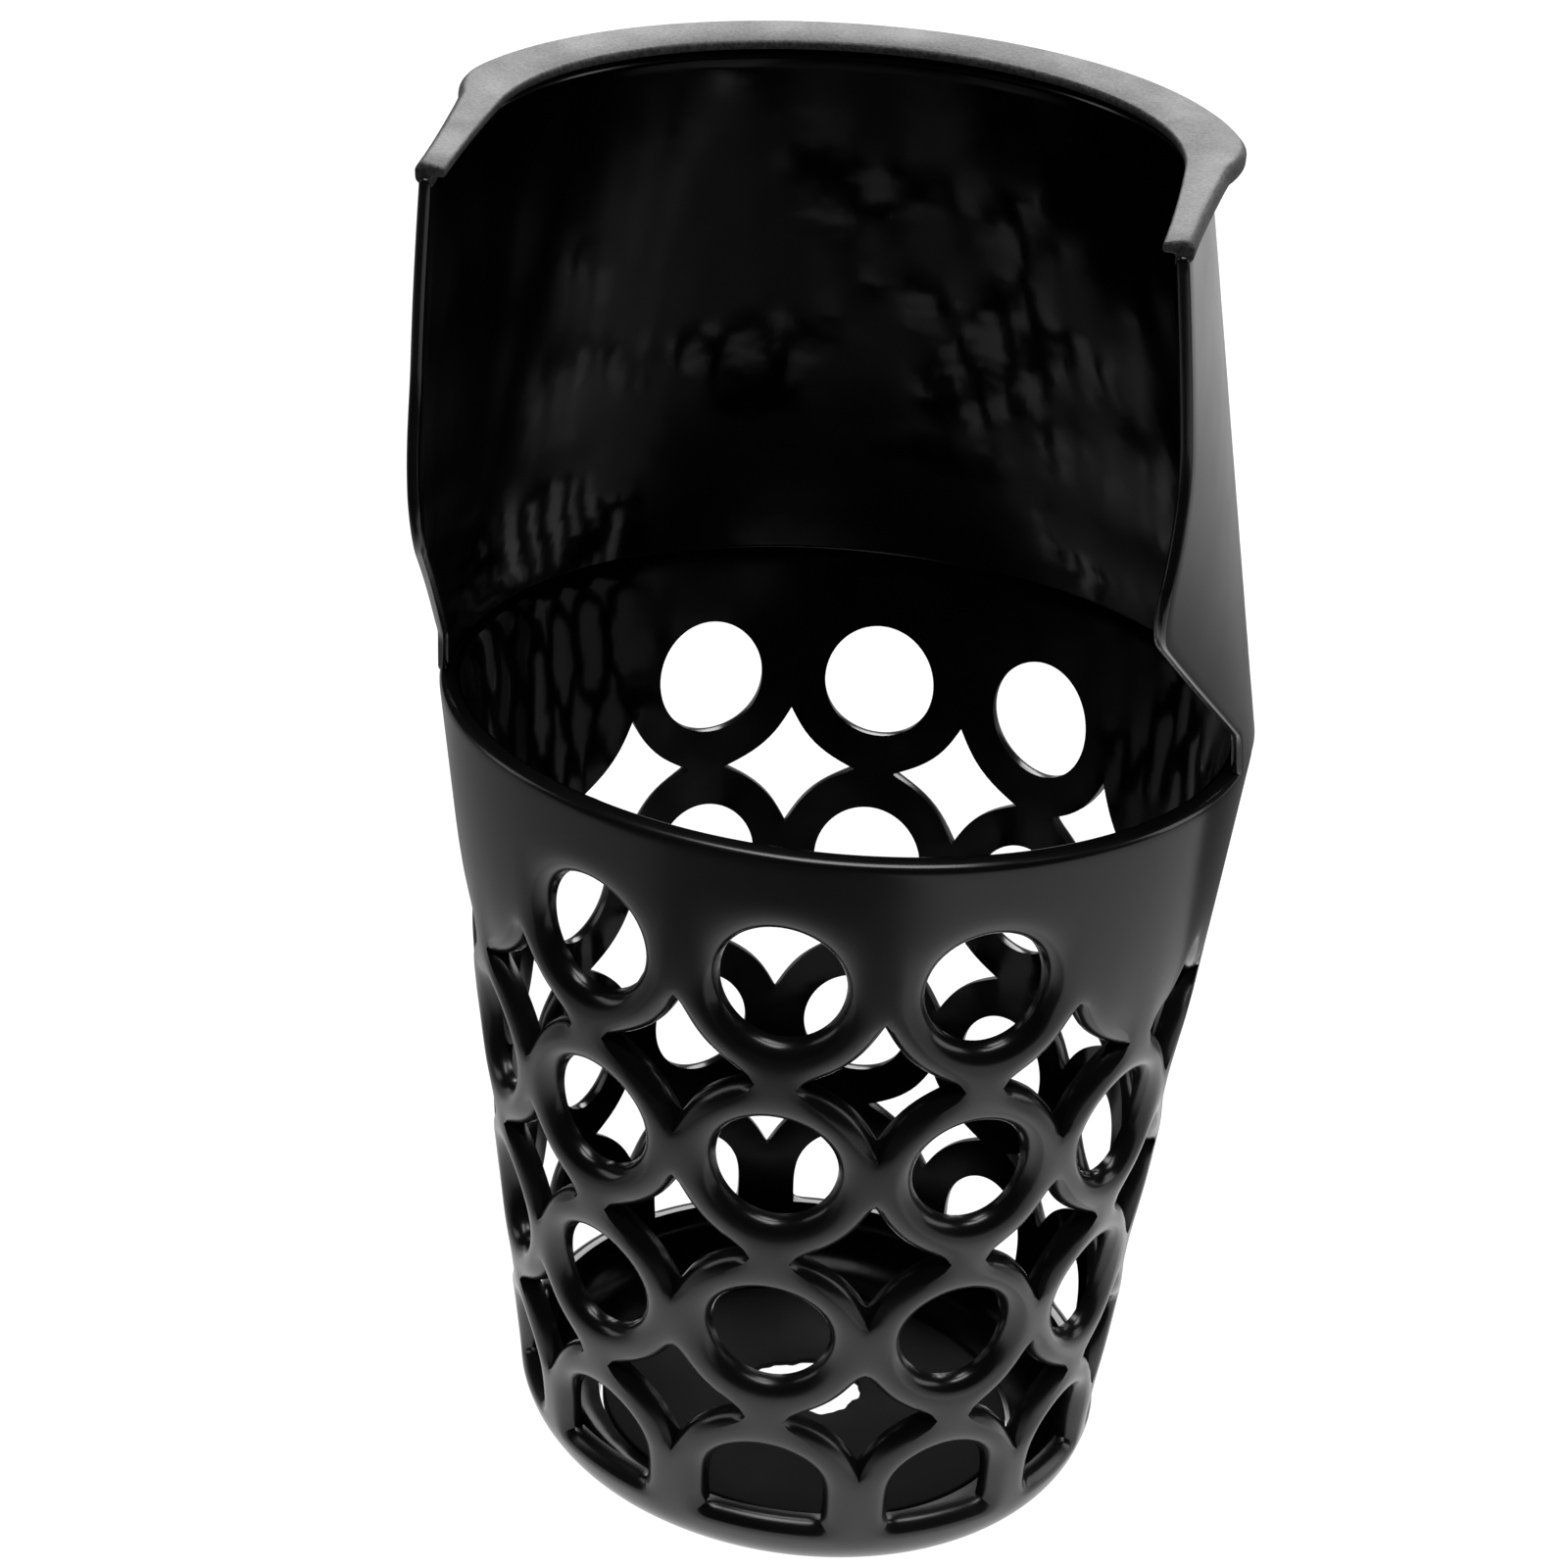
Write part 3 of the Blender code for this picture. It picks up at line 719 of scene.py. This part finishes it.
def makeLip():
    # the lip's section carried round the hood's top edge, from the end of one arm to the other
    first = hoodEdgeAngle(lip["endReach"], hood["height"])
    stations = lip["stations"]

    def innerEdge(angle):
        return onHood(angle, hood["height"], hood["wall"])

    def ringAt(station):
        share = station / (stations - 1)
        angle = mix(first, 2 * math.pi - first, share)
        foot = innerEdge(angle)
        along = innerEdge(angle + lip["tangentStep"]) - innerEdge(angle - lip["tangentStep"])
        outward = Vector((along.y, -along.x, 0.0)).normalized()
        toEnd = min(min(share, 1 - share) / lip["taper"], 1.0)
        width = mix(lip["endWidth"], lip["width"], (1 - math.cos(toEnd * math.pi)) / 2)
        return [Vector((foot.x, foot.y, 0.0)) + outward * distance * mm + Vector((0, 0, height * mm))
                for distance, height in lipSection(width)]

    bm = bmesh.new()
    corner = bm.verts.layers.int.new("corner")
    count = len(lipSection(lip["width"]))
    ring = bmesh.ops.create_circle(bm, cap_ends=True, radius=1.0, segments=count)["verts"]
    for number, vert in enumerate(ring):
        vert[corner] = number
        vert.co = ringAt(0)[number]
    loop = edgesRound(ring)
    for station in range(1, stations):
        places = ringAt(station)
        loop = grow(bm, loop, lambda vert: places[vert[corner]])
    bmesh.ops.contextual_create(bm, geom=loop)
    bmesh.ops.recalc_face_normals(bm, faces=bm.faces)
    roundCorners(bm, lip["sharpOver"], lip["edgeRound"], segments=2)
    print("lip:", len(bm.faces), "faces, faces out", bm.calc_volume() > 0)
    return finishPiece(bm, "grainedLip", (grained,), "hanging_lip")


makeLip()
print("pieces ready")


# sizes and places in the studio are metres
studio = {
    "floorSize": 6.0, "floorDrop": 0.0002, "floorSeen": 1.0,
    "floorColour": "3a3a3a", "floorRoughness": 0.8,   # what the plastic mirrors between the cards
    "glowNear": 0.05, "glowFar": 0.19, "glow": 0.95,  # a painted glow patch round where the object stands, seen only as mirrored
    "backFrom": 0.1, "backTo": 0.6, "backGlow": 0.55,  # painted light that grows on the table towards the panel behind, seen only as mirrored
    "worldSeen": 1.0, "worldMirrored": 0.02,
    "cardRise": 0.001,       # the cards lie this far over the table
    # white cards lying on the table: centre, size and brightness
    "cards": {
        "cardRight": ((0.32, -0.1), (0.5, 0.36), 0.6),
        "cardLeft": ((-0.36, 0.08), (0.5, 0.5), 0.24),
    },
    # soft lights: place, size and brightness
    "panels": {
        "softboxAbove": ((0.05, -0.1, 1.2), (0.8, 0.7), 6.5),
        "panelBehind": ((-0.02, 1.1, 0.8), (1.3, 0.6), 8.5),
        "panelRight": ((1.3, 0.1, 0.5), (0.5, 1.0), 2.0),
        "panelLeft": ((-1.3, -0.2, 0.5), (0.4, 0.9), 1.5),
    },
    "aim": (0.0, 0.0, 0.1),
}


def makeFloor():
    bm = bmesh.new()
    bmesh.ops.create_grid(bm, x_segments=1, y_segments=1, size=studio["floorSize"] / 2)
    mesh = bpy.data.meshes.new("paleFloor")
    bm.to_mesh(mesh)
    bm.free()
    floor = bpy.data.objects.new("paleFloor", mesh)
    bpy.context.scene.collection.objects.link(floor)
    floor.location.z = -studio["floorDrop"]
    # a white glowing table as seen directly; the plastic mirrors a painted glow patch under it, painted
    # light growing towards the back, and a dark surround
    material, tree, shader = newMaterial("litTable")
    place = addNode(tree, "ShaderNodeTexCoord").outputs["Object"]
    away = addNode(tree, "ShaderNodeVectorMath", {"operation": "LENGTH"}, {"Vector": place})
    # painted glow patch: emission that fades with distance from the object's foot
    patch = addNode(tree, "ShaderNodeMapRange", {
        "interpolation_type": "SMOOTHSTEP", "From Min": studio["glowNear"], "From Max": studio["glowFar"],
        "To Min": studio["glow"], "To Max": 0.0,
    }, {"Value": away.outputs["Value"]}).outputs["Result"]
    depth = addNode(tree, "ShaderNodeSeparateXYZ", links={"Vector": place}).outputs["Y"]
    # painted light: emission that grows towards the panel behind
    behind = addNode(tree, "ShaderNodeMapRange", {
        "interpolation_type": "SMOOTHSTEP", "From Min": studio["backFrom"], "From Max": studio["backTo"],
        "To Min": 0.0, "To Max": studio["backGlow"],
    }, {"Value": depth}).outputs["Result"]
    mirrored = addNode(tree, "ShaderNodeMath", {"operation": "MAXIMUM"}, {"Value": patch})
    tree.links.new(behind, mirrored.inputs[1])
    seen = addNode(tree, "ShaderNodeLightPath").outputs["Is Camera Ray"]
    glow = addNode(tree, "ShaderNodeMix", links={"Factor": seen, "A": mirrored.outputs["Value"]})
    glow.inputs["B"].default_value = studio["floorSeen"]
    tree.links.new(glow.outputs["Result"], shader.inputs["Emission Strength"])
    shader.inputs["Emission Color"].default_value = (1, 1, 1, 1)
    shader.inputs["Base Color"].default_value = toLinear(studio["floorColour"])
    shader.inputs["Roughness"].default_value = studio["floorRoughness"]
    mesh.materials.append(material)


def makeWorld():
    # pale behind the object, and dark in what the plastic mirrors, as in a studio with its walls hung black
    world = bpy.data.worlds.new("studioWorld")
    world.use_nodes = True
    tree = world.node_tree
    background = tree.nodes["Background"]
    seen = addNode(tree, "ShaderNodeLightPath").outputs["Is Camera Ray"]
    strength = addNode(tree, "ShaderNodeMapRange",
                       {"To Min": studio["worldMirrored"], "To Max": studio["worldSeen"]}, {"Value": seen})
    tree.links.new(strength.outputs["Result"], background.inputs["Strength"])
    background.inputs["Color"].default_value = (1, 1, 1, 1)
    bpy.context.scene.world = world


def addLight(name, place, target, size, brightness):
    # an area light whose face is this bright however large it is
    lamp = bpy.data.lights.new(name, "AREA")
    lamp.shape = "RECTANGLE"
    lamp.size, lamp.size_y = size
    lamp.energy = brightness * math.pi * size[0] * size[1]
    light = bpy.data.objects.new(name, lamp)
    bpy.context.scene.collection.objects.link(light)
    light.location = place
    light.rotation_euler = (Vector(target) - Vector(place)).to_track_quat("-Z", "Y").to_euler()
    light.visible_camera = False


makeFloor()
makeWorld()
for name, (place, size, brightness) in studio["panels"].items():
    addLight(name, place, studio["aim"], size, brightness)
for name, ((x, y), size, brightness) in studio["cards"].items():
    addLight(name, (x, y, studio["cardRise"]), (x, y, 1.0), size, brightness)


camera = {
    "target": (-7.14, 5.67, 111.39), "distance": 335.8,
    "azimuth": 9.68, "elevation": 32.73, "roll": 2.44,  # degrees
    "lens": 59.4, "sensor": 36.0,
    "nearest": 10.0,
}


def makeCamera():
    # the camera stands to the front and right, looks down at the target, and is rolled a little
    azimuth, elevation, roll = (math.radians(camera[name]) for name in ("azimuth", "elevation", "roll"))
    level = math.cos(elevation)
    away = Vector((math.sin(azimuth) * level, -math.cos(azimuth) * level, math.sin(elevation)))
    sideways = Vector((0, 0, 1)).cross(away).normalized()
    upright = away.cross(sideways)
    right = sideways * math.cos(roll) + upright * math.sin(roll)
    place = (Vector(camera["target"]) + away * camera["distance"]) * mm
    axes = Matrix((right, away.cross(right), away)).transposed().to_4x4()
    lens = bpy.data.cameras.new("mainView")
    lens.sensor_width = camera["sensor"]
    lens.lens = camera["lens"]
    lens.clip_start = camera["nearest"] * mm
    view = bpy.data.objects.new("mainView", lens)
    bpy.context.scene.collection.objects.link(view)
    view.matrix_world = Matrix.Translation(place) @ axes
    bpy.context.scene.camera = view


makeCamera()
bpy.context.scene.view_settings.view_transform = "Standard"
print("studio ready")

bpy.context.view_layer.update()
